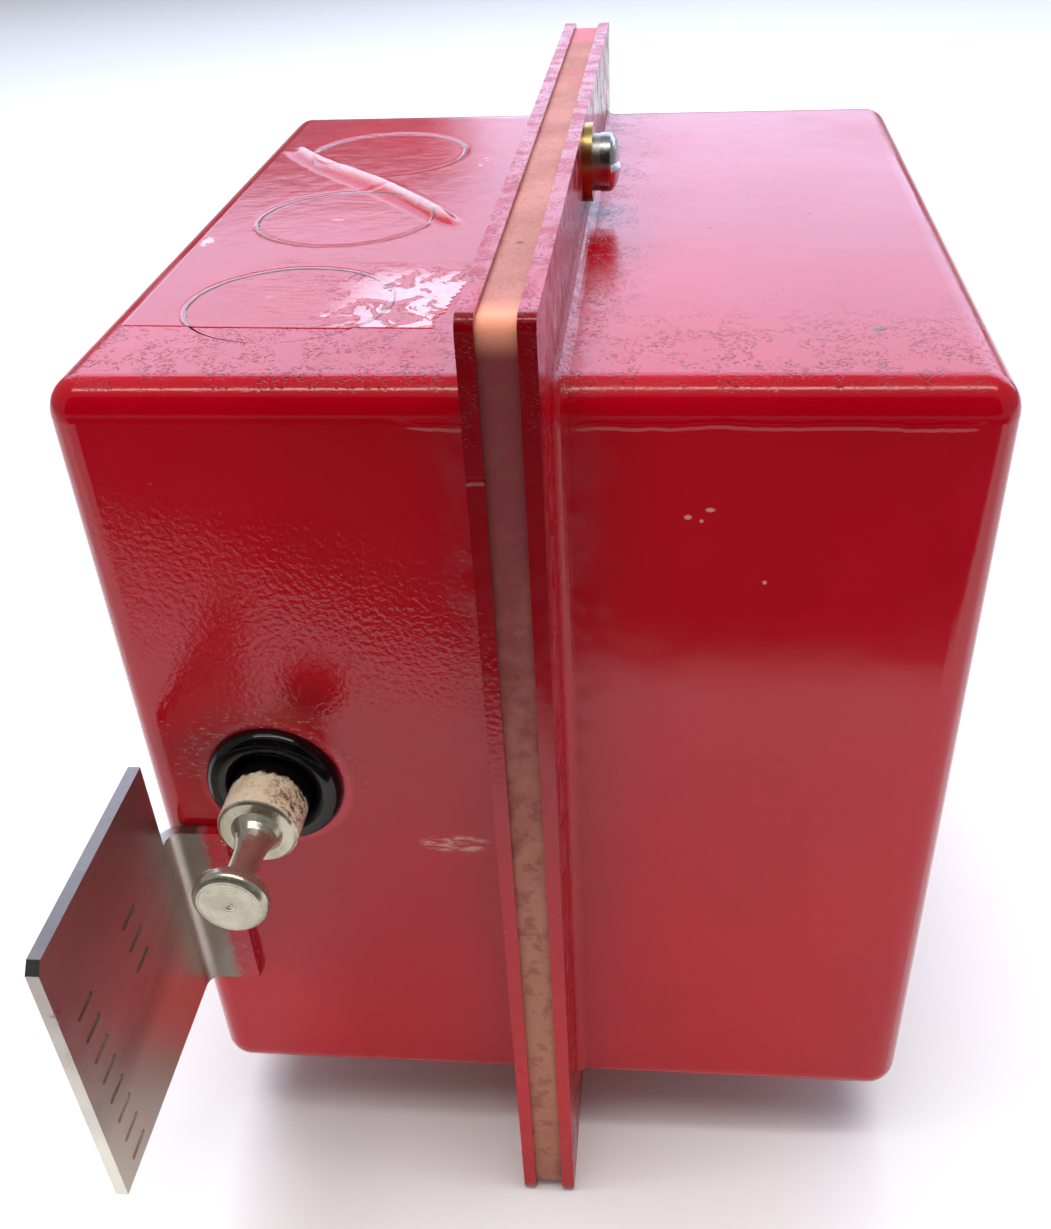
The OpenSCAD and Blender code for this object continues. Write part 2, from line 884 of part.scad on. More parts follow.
module strap_screws() {
    color([0.72, 0.7, 0.64])
        for (y = strap_screw_ys)
            translate([leg_top + strap_t, y, stem_z])
                slotted_screw(small_screw_d, strap_t + frame_t + screw_tail, small_head_d, small_head_h);
}

module switch_screws() {
    color([0.72, 0.7, 0.64])
        for (s = sides)
            translate([leg_top, pivot_y + s * switch_screw_y, stem_z])
                mirror([1, 0, 0])
                    slotted_screw(small_screw_d, strap_t + switch_thread, small_head_d, small_head_h);
}

module switch_body() {
    color([0.1, 0.08, 0.07])
        difference() {
            union() {
                translate([body_x, pivot_y - body_w / 2, stem_z - body_h / 2])
                    cube([body_depth, body_w, body_h]);
                for (s = sides)
                    translate([body_end - past, pivot_y - body_w / 2, stem_z + s * pole_pitch / 2 - rib_t / 2])
                        cube([rib_h + past, body_w, rib_t]);
            }
            translate([body_x - past, pivot_y - cavity_w / 2, stem_z - cavity_h / 2])
                cube([body_depth - floor_t + past, cavity_w, cavity_h]);
            translate([pivot_x, pivot_y, stem_z - body_h])
                cylinder(d = pin_d + 2 * fixed_gap, h = 2 * body_h);
            for (s = sides) {
                translate([body_x - past, pivot_y + s * switch_screw_y, stem_z])
                    bar_x(small_screw_d + 2 * fixed_gap, pilot_deep + past);
                for (p = poles) {
                    translate([body_end - floor_t - past, pivot_y, stem_z + p * pole_pitch])
                        mirror([0, s > 0 ? 0 : 1, 0])
                            translate([0, strip_y - fixed_gap, -strip_w / 2 - fixed_gap])
                                cube([floor_t + 2 * past, strip_t + 2 * fixed_gap, strip_w + 2 * fixed_gap]);
                    translate([body_end - floor_t, pivot_y + s * terminal_y, stem_z + p * pole_pitch])
                        bar_x(terminal_screw_d + 2 * fixed_gap, floor_t + past);
                }
            }
        }
}

module toggle_pin() {
    color([0.72, 0.7, 0.66])
        translate([pivot_x, pivot_y, stem_z - body_h / 2])
            cylinder(d = pin_d, h = body_h);
}

// Everything that turns with the toggle, built straight and tilted to the set position
module tilted() {
    translate([pivot_x, pivot_y, stem_z])
        rotate([0, 0, -lever_angle])
            children();
}

module blade(p) {
    translate([blade_in, -blade_t / 2, p * pole_pitch - blade_w / 2])
        cube([blade_out - blade_in, blade_t, blade_w]);
}

module toggle_lever() {
    color([0.2, 0.12, 0.08])
        tilted()
            difference() {
                union() {
                    translate([0, 0, -drum_len / 2])
                        cylinder(r = drum_r, h = drum_len);
                    rotate([0, -90, 0])
                        cylinder(r1 = lever_root_r, r2 = lever_tip_r, h = lever_len);
                    translate([-lever_len, 0, 0])
                        sphere(r = ball_r);
                }
                translate([0, 0, -drum_len])
                    cylinder(d = pin_d + run_fit, h = 2 * drum_len);
                for (p = poles)
                    blade(p);
            }
}

module contact_blades() {
    color([0.72, 0.45, 0.25])
        tilted()
            for (p = poles)
                union() {
                    blade(p);
                    translate([contact_at, -blade_t / 2 - contact_h, p * pole_pitch])
                        bar_y(2 * contact_r, blade_t + 2 * contact_h);
                }
}

// Round wire wound into a helix along +Z, as one closed tube
module helix(r, wire, len, turns) {
    rings = turns * spring_step;
    points = [
        for (i = [0:rings], k = [0:spring_sides - 1])
            let (
                a = 360 * i / spring_step,
                b = 360 * k / spring_sides,
                reach = r + wire * cos(b)
            )
                [reach * cos(a), reach * sin(a), wire + (len - 2 * wire) * i / rings + wire * sin(b)]
    ];
    walls = [
        for (i = [0:rings - 1], k = [0:spring_sides - 1])
            let (n = (k + 1) % spring_sides)
                [i * spring_sides + k, i * spring_sides + n, (i + 1) * spring_sides + n, (i + 1) * spring_sides + k]
    ];
    first = [for (k = [spring_sides - 1:-1:0]) k];
    last = [for (k = [0:spring_sides - 1]) rings * spring_sides + k];
    polyhedron(points = points, faces = concat(walls, [first, last]), convexity = 10);
}

module over_centre_spring() {
    drum_end = drum_r + spring_gap;
    start_x = pivot_x + drum_end * cos(lever_angle);
    start_y = pivot_y - drum_end * sin(lever_angle);
    end_x = body_end - floor_t;
    dx = end_x - start_x;
    dy = pivot_y - start_y;
    color([0.6, 0.6, 0.58])
        translate([start_x, start_y, stem_z + spring_z])
            rotate([0, 0, atan2(dy, dx)])
                rotate([0, 90, 0])
                    helix(spring_r, spring_wire, sqrt(dx * dx + dy * dy) - spring_gap, spring_turns);
}

module fixed_contacts() {
    contact_x = pivot_x + contact_at * cos(lever_angle);
    color([0.76, 0.6, 0.3])
        for (s = [0, 1], p = poles)
            translate([0, pivot_y, stem_z + p * pole_pitch])
                mirror([0, s, 0])
                    difference() {
                        union() {
                            translate([strip_start, strip_y, -strip_w / 2])
                                cube([body_end + strip_t - strip_start, strip_t, strip_w]);
                            translate([body_end, strip_y, -terminal_w / 2])
                                cube([strip_t, terminal_end - strip_y, terminal_w]);
                            translate([contact_x, strip_y - contact_h, 0])
                                bar_y(2 * contact_r, contact_h + strip_t / 2);
                        }
                        translate([body_end - past, terminal_y, 0])
                            bar_x(terminal_screw_d + 2 * fixed_gap, strip_t + 2 * past);
                    }
}

module terminal_screws() {
    color([0.76, 0.6, 0.3])
        for (s = sides, p = poles)
            translate([body_end + strip_t, pivot_y + s * terminal_y, stem_z + p * pole_pitch])
                slotted_screw(terminal_screw_d, floor_t, terminal_head_d, terminal_head_h);
}

base_shell();
cover_shell();
flange_gasket();
knockout_slugs();
cover_screws();
cover_flat_washers();
cover_lock_washers();
stem_grommet();
indicator_plate();
stem();
guide_bush();
front_bracket();
rear_bracket();
frame_screws();
actuator_cylinder();
cylinder_sealing_washer();
cylinder_lock_nut();
piston();
piston_ring();
piston_nut();
drive_yoke();
yoke_set_screw();
mounting_strap();
strap_screws();
switch_screws();
switch_body();
toggle_lever();
toggle_pin();
contact_blades();
over_centre_spring();
fixed_contacts();
terminal_screws();
earth_screw();
earth_washer();
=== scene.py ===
import json
import math

import bmesh
import bpy
from mathutils import Matrix, Vector, noise


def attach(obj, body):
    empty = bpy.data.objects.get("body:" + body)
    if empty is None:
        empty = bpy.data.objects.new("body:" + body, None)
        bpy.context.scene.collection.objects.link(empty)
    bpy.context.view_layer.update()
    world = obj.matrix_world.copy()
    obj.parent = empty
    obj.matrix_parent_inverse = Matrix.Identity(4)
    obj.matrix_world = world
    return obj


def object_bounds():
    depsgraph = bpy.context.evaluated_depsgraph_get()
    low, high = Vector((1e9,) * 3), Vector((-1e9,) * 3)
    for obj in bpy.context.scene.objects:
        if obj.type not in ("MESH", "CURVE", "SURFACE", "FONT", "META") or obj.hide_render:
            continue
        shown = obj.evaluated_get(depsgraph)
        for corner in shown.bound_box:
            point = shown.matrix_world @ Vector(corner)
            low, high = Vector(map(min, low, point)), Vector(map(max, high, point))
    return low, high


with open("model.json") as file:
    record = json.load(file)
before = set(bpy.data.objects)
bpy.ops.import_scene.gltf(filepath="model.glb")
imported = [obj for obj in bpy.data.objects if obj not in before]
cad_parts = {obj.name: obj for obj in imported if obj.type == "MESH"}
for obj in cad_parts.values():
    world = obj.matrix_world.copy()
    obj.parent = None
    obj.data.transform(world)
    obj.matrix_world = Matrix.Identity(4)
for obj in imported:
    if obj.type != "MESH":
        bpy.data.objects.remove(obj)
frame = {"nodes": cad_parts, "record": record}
cad_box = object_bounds()
nodes = frame["nodes"]

MM = 0.001

# ------------------------------------------------ sizes of the part, millimetres


def extent(name):
    """Low and high corner of a CAD node at rest, in millimetres to the nearest micrometre."""
    points = [v.co for v in nodes[name].data.vertices]
    return [[round(pick(p[axis] for p in points) / MM, 3) for axis in range(3)] for pick in (min, max)]


# thickness of the sheet, and how far the flanges and the collar stand out of the walls
SHEET = 1.6
FLANGE_OUT = 10.5
COLLAR_OUT = 8.4
base_low, base_high = extent("base_shell")
cover_low, cover_high = extent("cover_shell")
gasket_low, gasket_high = extent("flange_gasket")
stem_low, stem_high = extent("stem")
plate_low, plate_high = extent("indicator_plate")
# the outer faces of the shells' front and top walls
FRONT = base_low[1] + FLANGE_OUT
TOP = base_high[2] - FLANGE_OUT
# the face of each flange that its own shell's walls run into
BASE_FLANGE = base_high[0] - SHEET
COVER_FLANGE = cover_low[0] + SHEET
COVER_END = cover_high[0]
GASKET_FRONT = gasket_low[1]
GASKET_TOP = gasket_high[2]
STEM_X = (stem_low[0] + stem_high[0]) / 2
STEM_Z = (stem_low[2] + stem_high[2]) / 2
KNOB_FACE = stem_low[1]
COLLAR_END = FRONT - COLLAR_OUT
GROMMET_R = extent("stem_grommet")[1][0] - STEM_X
PLATE_FRONT = plate_low[1]

# ---------------------------------------------------------------- node helpers


class Tree:
    """A node material with one Principled shader. Sizes in it are millimetres in the row frame."""

    def __init__(self, name, **shader):
        self.mat = bpy.data.materials.new(name)
        self.mat.use_nodes = True
        self.tree = self.mat.node_tree
        self.tree.nodes.clear()
        self.out = self.tree.nodes.new("ShaderNodeOutputMaterial")
        self.bsdf = self.tree.nodes.new("ShaderNodeBsdfPrincipled")
        self.tree.links.new(self.bsdf.outputs[0], self.out.inputs["Surface"])
        for key, value in shader.items():
            self.set(key.replace("_", " "), value)
        coords = self.tree.nodes.new("ShaderNodeTexCoord")
        self.pos = self.vector("SCALE", coords.outputs["Object"], scale=1 / MM)
        split = self.node("ShaderNodeSeparateXYZ", {"Vector": self.pos})
        self.x, self.y, self.z = split.outputs
        self.height = None

    def node(self, kind, inputs=None, **props):
        n = self.tree.nodes.new(kind)
        for key, value in props.items():
            setattr(n, key, value)
        for key, value in (inputs or {}).items():
            self.feed(n.inputs[key], value)
        return n

    def feed(self, socket, value):
        if isinstance(value, bpy.types.NodeSocket):
            self.tree.links.new(value, socket)
        elif isinstance(value, (tuple, list)) and len(value) == 3 and socket.type == "RGBA":
            socket.default_value = (*value, 1)
        else:
            socket.default_value = value

    def set(self, name, value):
        self.feed(self.bsdf.inputs[name], value)

    def math(self, op, a, b=0.0, clamp=False):
        n = self.node("ShaderNodeMath", operation=op, use_clamp=clamp)
        self.feed(n.inputs[0], a)
        self.feed(n.inputs[1], b)
        return n.outputs[0]

    def vector(self, op, a, b=(0.0, 0.0, 0.0), scale=1.0):
        n = self.node("ShaderNodeVectorMath", operation=op)
        self.feed(n.inputs[0], a)
        self.feed(n.inputs[1], b)
        if op == "SCALE":
            n.inputs["Scale"].default_value = scale
        return n.outputs["Value"] if op == "LENGTH" else n.outputs["Vector"]

    def noise(self, scale, detail=2.0, rough=0.5, distortion=0.0, stretch=None, offset=0.0):
        """Noise from 0 to 1 with scale features a millimetre, times stretch on each axis."""
        vec = self.pos
        if stretch is not None or offset:
            moved = {"Vector": vec, "Scale": stretch or (1, 1, 1), "Location": (offset, offset, offset)}
            vec = self.node("ShaderNodeMapping", moved).outputs[0]
        wanted = {"Vector": vec, "Scale": scale, "Detail": detail, "Roughness": rough}
        return self.node("ShaderNodeTexNoise", {**wanted, "Distortion": distortion}).outputs[0]

    def cells(self, scale):
        """Distance to the nearest of some scattered points, and a random number for each of them."""
        n = self.node("ShaderNodeTexVoronoi", {"Vector": self.pos, "Scale": scale}, feature="F1")
        pick = self.node("ShaderNodeSeparateColor", {"Color": n.outputs["Color"]})
        return n.outputs["Distance"], pick.outputs[0]

    def ramp(self, value, low, high, to_low=0.0, to_high=1.0):
        """Smooth step from to_low to to_high as value goes from low to high."""
        n = self.node("ShaderNodeMapRange", interpolation_type="SMOOTHSTEP")
        for socket, v in zip(n.inputs[:5], (value, low, high, to_low, to_high)):
            self.feed(socket, v)
        return n.outputs[0]

    def band(self, value, low, high, soft):
        """1 between low and high, falling to 0 over soft on either side."""
        up = self.ramp(value, low - soft, low)
        down = self.ramp(value, high, high + soft, 1.0, 0.0)
        return self.math("MULTIPLY", up, down)

    def spot(self, centre, radius, soft, stretch=(1, 1, 1)):
        """1 inside an ellipsoid round a point in millimetres."""
        moved = self.vector("SUBTRACT", self.pos, centre)
        scaled = self.vector("MULTIPLY", moved, stretch)
        reach = self.vector("LENGTH", scaled)
        return self.ramp(reach, radius, radius + soft, 1.0, 0.0)

    def fold(self, op, values):
        """All the values joined by one operation, from left to right."""
        total = values[0]
        for v in values[1:]:
            total = self.math(op, total, v)
        return total

    def times(self, *values):
        return self.fold("MULTIPLY", values)

    def plus(self, *values):
        return self.fold("ADD", values)

    def most(self, *values):
        return self.fold("MAXIMUM", values)

    def mix(self, share, a, b):
        """Colour between a and b."""
        n = self.node("ShaderNodeMix", data_type="RGBA")
        self.feed(n.inputs["Factor"], share)
        self.feed(n.inputs[6], a)
        self.feed(n.inputs[7], b)
        return n.outputs[2]

    def blend(self, share, a, b):
        """Number between a and b."""
        n = self.node("ShaderNodeMix", data_type="FLOAT")
        self.feed(n.inputs["Factor"], share)
        self.feed(n.inputs[2], a)
        self.feed(n.inputs[3], b)
        return n.outputs[0]

    def bump(self, height, depth_mm):
        """Adds relief: height from 0 to 1 stands for depth_mm."""
        scaled = self.math("MULTIPLY", height, depth_mm)
        self.height = scaled if self.height is None else self.math("ADD", self.height, scaled)

    def finish(self):
        if self.height is not None:
            n = self.node("ShaderNodeBump", {"Height": self.height, "Strength": 1.0, "Distance": MM})
            self.set("Normal", n.outputs[0])
        return self.mat


# ------------------------------------------------------------------- materials


def from_axis(t):
    """Distance from the stem's axis."""
    moved = t.vector("SUBTRACT", t.pos, (STEM_X, 0, STEM_Z))
    flat = t.vector("MULTIPLY", moved, (1, 0, 1))
    return t.vector("LENGTH", flat)


def enamel(name, peel, base):
    """Glossy red enamel of one shell. It is dry and pitted towards the flange, and has small marks."""
    t = Tree(name, Specular_IOR_Level=0.5, IOR=1.5)
    wide = t.noise(0.03, 3, 0.55)
    streak = t.noise(0.12, 3, 0.6, stretch=(1.0, 1.0, 0.12))
    fine = t.noise(2.6, 3, 0.6)
    pits = t.noise(5.0, 2, 0.5)
    red = t.mix(t.ramp(wide, 0.3, 0.7), (0.34, 0.0002, 0.006), (0.40, 0.0006, 0.010))
    red = t.mix(t.times(t.ramp(streak, 0.45, 0.75), 0.25), red, (0.31, 0.0003, 0.003))

    # where the paint is dry: towards the flange, on it, and in clouds on the top
    if base:
        near = t.ramp(t.x, BASE_FLANGE - 6.5, BASE_FLANGE - 0.5)
        edge = t.ramp(t.x, BASE_FLANGE - 0.9, BASE_FLANGE - 0.1)
        root = t.ramp(t.x, BASE_FLANGE - 8.5, BASE_FLANGE - 1.5)
    else:
        near = t.ramp(t.x, COVER_FLANGE + 0.2, COVER_FLANGE + 7.8, 1.0, 0.0)
        edge = t.ramp(t.x, COVER_FLANGE + 0.1, COVER_FLANGE + 0.8, 1.0, 0.0)
        root = t.ramp(t.x, COVER_FLANGE + 0.8, COVER_FLANGE + 12.8, 1.0, 0.0)
    up = t.ramp(t.z, TOP - 1.25, TOP - 0.15)
    dry = t.times(t.ramp(t.noise(0.35, 3, 0.6), 0.35, 0.7), t.most(t.times(near, 0.7), edge))
    dry = t.most(dry, t.times(up, t.ramp(t.noise(0.06, 3, 0.55, offset=4.0), 0.4, 0.75), 0.4))
    lip = t.times(t.ramp(t.y, GASKET_FRONT + 1.9, GASKET_FRONT), t.ramp(t.z, -45.0, 58.0))
    dry = t.times(dry, t.math("SUBTRACT", 1.0, t.times(lip, 0.8)))
    red = t.mix(t.times(dry, t.ramp(pits, 0.56, 0.7), 0.55), red, (0.16, 0.001, 0.006))

    # fine pits on the top, along its front edge and beside the flange
    ahead = t.ramp(t.y, FRONT + 28.5, FRONT + 4.5)
    cloud = t.ramp(t.noise(0.35, 3, 0.6, offset=17.0), 0.40, 0.60)
    pitted = t.times(up, t.most(t.times(root, 0.8), ahead), cloud)
    pinholes = t.ramp(t.noise(2.6, 2, 0.5, offset=13.0), 0.545, 0.62)
    red = t.mix(t.times(pitted, pinholes, 0.8), red, (0.10, 0.001, 0.004))
    overspray = t.ramp(t.noise(3.4, 2, 0.5, offset=9.0), 0.62, 0.75)
    red = t.mix(t.times(dry, overspray, 0.25), red, (0.55, 0.07, 0.10))
    # painted shade: the front edges of the flanges are darkened, the more towards the top
    red = t.mix(t.times(lip, 0.8), red, (0.13, 0.0002, 0.002))

    # dust caught in the paint
    reach, pick = t.cells(0.42)
    dust = t.times(t.ramp(reach, 0.05, 0.11, 1.0, 0.0), t.ramp(pick, 0.90, 0.93))
    red = t.mix(t.times(dust, 0.45), red, (0.09, 0.01, 0.012))
    cloudy = t.noise(0.08, 3, 0.6, offset=2.0)
    rough = t.plus(0.085, t.times(cloudy, 0.06), t.times(dry, 0.25))

    # the bead that the paint left under the rounding of the top front edge
    level = t.plus(t.z, t.times(t.noise(0.12, 3, 0.6, offset=12.0), 1.6))
    bead = t.times(t.ramp(t.y, FRONT + 0.5, FRONT + 0.1), t.band(level, TOP - 2.9, TOP - 2.75, 0.5))
    if base:
        bead = t.times(bead, t.ramp(t.x, BASE_FLANGE - 9.5, BASE_FLANGE - 4.5))
    else:
        bead = t.times(bead, t.band(t.x, COVER_FLANGE + 3.3, COVER_END - 5.7, 3.0))

    if base:
        red, marks = base_marks(t, red)
        rough = t.plus(rough, t.times(marks, 0.35))
    else:
        red, marks = cover_marks(t, red), None
    t.set("Base Color", red)
    t.set("Roughness", rough)

    # the orange peel comes first, because only it is scaled by where it shows
    peel_share = peel(t)
    t.bump(t.noise(1.6, 1.5, 0.5), 0.05)
    t.height = t.times(t.height, peel_share)
    t.bump(t.noise(0.10, 2, 0.5, offset=1.0), 0.07)
    t.bump(t.times(fine, dry), 0.05)
    t.bump(t.times(pits, dry), -0.03)
    t.bump(dust, -0.02)
    t.bump(t.times(pitted, pinholes), -0.03)
    t.bump(bead, 0.09)
    if marks is not None:
        t.bump(marks, 0.03)
    return t.finish()


def base_marks(t, red):
    """Scuffs and chips round the grommet, the lighter rim of its hole and the scrape right of it."""
    face = t.ramp(t.y, FRONT + 0.4, FRONT + 0.1)
    axis = from_axis(t)
    ring = t.times(
        t.ramp(axis, GROMMET_R, GROMMET_R + 0.3),
        t.ramp(axis, GROMMET_R + 0.7, GROMMET_R + 4.6, 1.0, 0.0),
    )
    above = t.ramp(t.z, STEM_Z - 4.0, STEM_Z + 8.0)
    hairs = t.noise(1.1, 4, 0.75, stretch=(1.0, 1.0, 2.6), offset=3.0)
    chips = t.times(ring, t.ramp(hairs, 0.575, 0.63), above)
    brushed = t.noise(0.9, 4, 0.8, stretch=(0.6, 1.0, 1.6), offset=8.0)
    left = t.times(
        t.band(t.x, 1.0, 12.0, 2.0),
        t.band(t.z, STEM_Z + 1.8, STEM_Z + 7.3, 2.5),
        t.ramp(brushed, 0.60, 0.66),
        0.75,
    )
    rim = t.times(
        t.ramp(axis, GROMMET_R, GROMMET_R + 0.2),
        t.ramp(axis, GROMMET_R + 0.7, GROMMET_R + 1.5, 1.0, 0.0),
    )
    red = t.mix(t.times(rim, face, 0.45), red, (0.55, 0.05, 0.07))
    scrape = t.spot((36.0, FRONT, -6.6), 2.0, 1.6, stretch=(0.72, 1.0, 2.3))
    torn = t.noise(0.9, 4, 0.7, stretch=(0.5, 1.0, 1.8), offset=6.0)
    scrape = t.times(scrape, t.ramp(torn, 0.42, 0.60))
    marks = t.times(face, t.most(chips, left, scrape))
    smudge = t.times(face, t.spot((20.8, FRONT, 13.6), 1.6, 2.6))
    red = t.mix(t.times(smudge, 0.5), red, (0.20, 0.004, 0.01))
    return t.mix(t.times(marks, 0.75), red, (0.62, 0.36, 0.27)), marks


def cover_marks(t, red):
    """Four nicks on the front, and on the top a painted shade beside the screw and one dark speck."""
    nicks = t.most(
        t.spot((61.8, FRONT, 37.2), 0.16, 0.16, stretch=(0.7, 1, 1)),
        t.spot((63.9, FRONT, 38.0), 0.14, 0.14, stretch=(0.5, 1, 1)),
        t.spot((63.1, FRONT, 36.8), 0.12, 0.12),
        t.spot((69.5, FRONT, 30.0), 0.14, 0.14),
    )
    red = t.mix(t.times(nicks, 0.8), red, (0.60, 0.32, 0.26))
    # painted shade: a darker spot on the top beside the cover's screw
    dull = t.spot((53.4, -10.5, TOP), 2.0, 6.0, stretch=(1.3, 0.55, 1.0))
    red = t.mix(t.times(dull, 0.35), red, (0.22, 0.002, 0.008))
    speck = t.spot((79.8, -38.8, TOP), 0.3, 0.2, stretch=(0.6, 1, 1))
    return t.mix(speck, red, (0.06, 0.002, 0.005))


def base_peel(t):
    """Share of the orange peel: strong across the middle of the front, slight elsewhere."""
    front = t.times(t.band(t.z, 14.0, 34.0, 9.0), t.ramp(t.y, FRONT + 1.5, FRONT + 0.5))
    return t.plus(0.10, t.times(front, 0.90))


def cover_peel(t):
    """Share of the orange peel: slight, a little more towards the top."""
    return t.plus(0.06, t.times(t.ramp(t.z, 10.0, 45.0), 0.06))


def gasket_rubber():
    """Cut edge of a natural rubber sheet: pinkish brown, stained with red paint on the upper front."""
    t = Tree("gasket_rubber", Specular_IOR_Level=0.35, Subsurface_Weight=0.12, Subsurface_Scale=0.0015)
    t.bsdf.inputs["Subsurface Radius"].default_value = (1.0, 0.45, 0.25)
    wide = t.noise(0.12, 3, 0.6)
    grain = t.noise(3.0, 4, 0.7)
    blot = t.noise(0.45, 3, 0.6, offset=5.0)
    brown = t.mix(t.ramp(wide, 0.3, 0.7), (0.37, 0.150, 0.125), (0.49, 0.215, 0.180))
    brown = t.mix(t.times(t.ramp(grain, 0.5, 0.7), 0.6), brown, (0.24, 0.085, 0.055))
    front = t.ramp(t.y, GASKET_FRONT + 1.9, GASKET_FRONT + 0.8)
    # painted shade: the gasket's front face is mixed towards a darker brown
    brown = t.mix(t.times(front, 0.75), brown, (0.30, 0.115, 0.065))
    stain = t.times(front, t.ramp(t.plus(t.z, t.times(blot, 60.0)), 10.0, 75.0))
    brown = t.mix(t.times(stain, 0.9), brown, (0.17, 0.010, 0.018))
    patches = t.times(front, t.ramp(blot, 0.52, 0.62), 0.5)
    brown = t.mix(patches, brown, (0.18, 0.04, 0.03))
    # painted glow: the top front corner is lightened to orange, standing in for light that shines
    # through the skin of the sheet
    corner = t.spot((45.8, GASKET_FRONT + 0.4, GASKET_TOP + 0.45), 0.8, 4.2, stretch=(0.4, 0.8, 1.3))
    brown = t.mix(t.times(corner, 0.85), brown, (0.90, 0.36, 0.22))
    # paint from the flanges covers the back end of the top edge, and two stripes before it
    lift = t.ramp(t.z, GASKET_TOP - 1.65, GASKET_TOP - 0.25)
    along = t.plus(t.y, t.times(t.noise(0.5, 3, 0.6), 8.0))
    back = t.ramp(along, 52.0, 56.0)
    stripes = t.times(t.most(t.band(along, 27.0, 28.0, 1.0), t.band(along, 33.5, 34.5, 1.0)), 0.5)
    paint = t.times(lift, t.most(back, stripes))
    brown = t.mix(t.times(paint, 0.8), brown, (0.50, 0.07, 0.09))
    specks, pick = t.cells(0.5)
    dark = t.times(t.ramp(specks, 0.10, 0.24, 1.0, 0.0), t.ramp(pick, 0.84, 0.88))
    brown = t.mix(t.times(dark, 0.7), brown, (0.07, 0.025, 0.02))
    t.set("Base Color", brown)
    t.set("Roughness", t.plus(0.5, t.times(grain, 0.3), t.times(paint, -0.2)))
    t.bump(grain, 0.06)
    t.bump(t.noise(0.5, 2, 0.5, stretch=(1.0, 0.2, 0.2)), 0.10)
    return t.finish()


def plated(name, tint, dull, rough, grain=(1.0, 1.0, 1.0), tarnish=(0.25, 0.2, 0.14), spread=0.4):
    """Bare or plated metal with a direction of grain, wear and tarnish."""
    t = Tree(name, Metallic=1.0)
    wide = t.noise(0.18, 4, 0.6)
    lines = t.noise(3.0, 3, 0.6, stretch=grain)
    colour = t.mix(t.ramp(wide, 0.3, 0.7), tint, dull)
    blots = t.ramp(t.noise(0.5, 5, 0.7, offset=3.0), 0.52, 0.75)
    colour = t.mix(t.times(blots, spread), colour, tarnish)
    t.set("Base Color", colour)
    t.set("Roughness", t.plus(rough, t.times(lines, 0.14), t.times(wide, 0.10)))
    t.bump(lines, 0.015)
    t.bump(t.noise(0.6, 3, 0.6, offset=7.0), 0.02)
    return t.finish()


def indicator_metal():
    """Rolled sheet: bare and slightly tarnished, with red paint run over the foot, painted reflections
    on the leaf and painted shade at the bend.
    """
    t = Tree("plate_steel")
    wide = t.noise(0.10, 4, 0.6, stretch=(1, 0.5, 1.2))
    lines = t.noise(2.4, 3, 0.65, stretch=(1.0, 1.0, 0.06))
    cross = t.noise(1.2, 3, 0.6, stretch=(1.0, 0.08, 1.0), offset=2.0)
    leaf = t.ramp(t.y, FRONT - 2.5, FRONT - 4.0)
    bend = t.ramp(t.y, FRONT - 4.0, FRONT - 2.5)
    metal = t.mix(t.ramp(wide, 0.3, 0.7), (0.76, 0.73, 0.65), (0.60, 0.56, 0.48))
    blots = t.ramp(t.noise(0.7, 5, 0.7, offset=5.0), 0.55, 0.75)
    metal = t.mix(t.times(blots, 0.35), metal, (0.28, 0.23, 0.16))
    # painted reflections and shade: darker towards the top of the leaf as a painted reflection of the
    # red box, dark in the bend as painted shade, paler at its lower end as a painted reflection of the
    # floor
    metal = t.mix(t.times(t.ramp(t.z, -18.0, 6.0), leaf, 0.6), metal, (0.33, 0.27, 0.27))
    metal = t.mix(t.times(t.band(t.x, 3.2, 7.0, 1.0), bend, 0.75), metal, (0.13, 0.085, 0.07))
    metal = t.mix(t.times(t.ramp(t.z, -17.0, -22.0), leaf), metal, (0.88, 0.84, 0.72))
    ragged = t.plus(t.x, t.times(t.noise(0.8, 3, 0.6, offset=1.5), 2.6))
    paint = t.times(t.ramp(ragged, 6.2, 8.0), t.ramp(t.y, FRONT - 3.5, FRONT - 1.9))
    chips = t.ramp(t.noise(1.6, 4, 0.7, offset=8.0), 0.60, 0.66)
    paint = t.times(paint, t.math("SUBTRACT", 1.0, t.times(chips, 0.7)))
    red = t.mix(t.ramp(t.noise(1.2, 3, 0.6), 0.4, 0.7), (0.36, 0.004, 0.014), (0.46, 0.012, 0.025))
    t.set("Base Color", t.mix(paint, metal, red))
    t.set("Metallic", t.math("SUBTRACT", 1.0, paint))
    rough = t.plus(0.27, t.times(lines, 0.16), t.times(cross, 0.08))
    t.set("Roughness", t.blend(paint, rough, 0.24))
    t.bump(lines, 0.012)
    t.bump(cross, 0.010)
    t.bump(t.noise(0.4, 3, 0.5, offset=4.0), 0.05)
    t.bump(t.times(t.noise(1.0, 3, 0.6), paint), 0.06)
    # the small burr on the front edge
    t.bump(t.spot((1.9, PLATE_FRONT + 0.3, -0.4), 0.3, 0.7), 0.15)
    return t.finish()


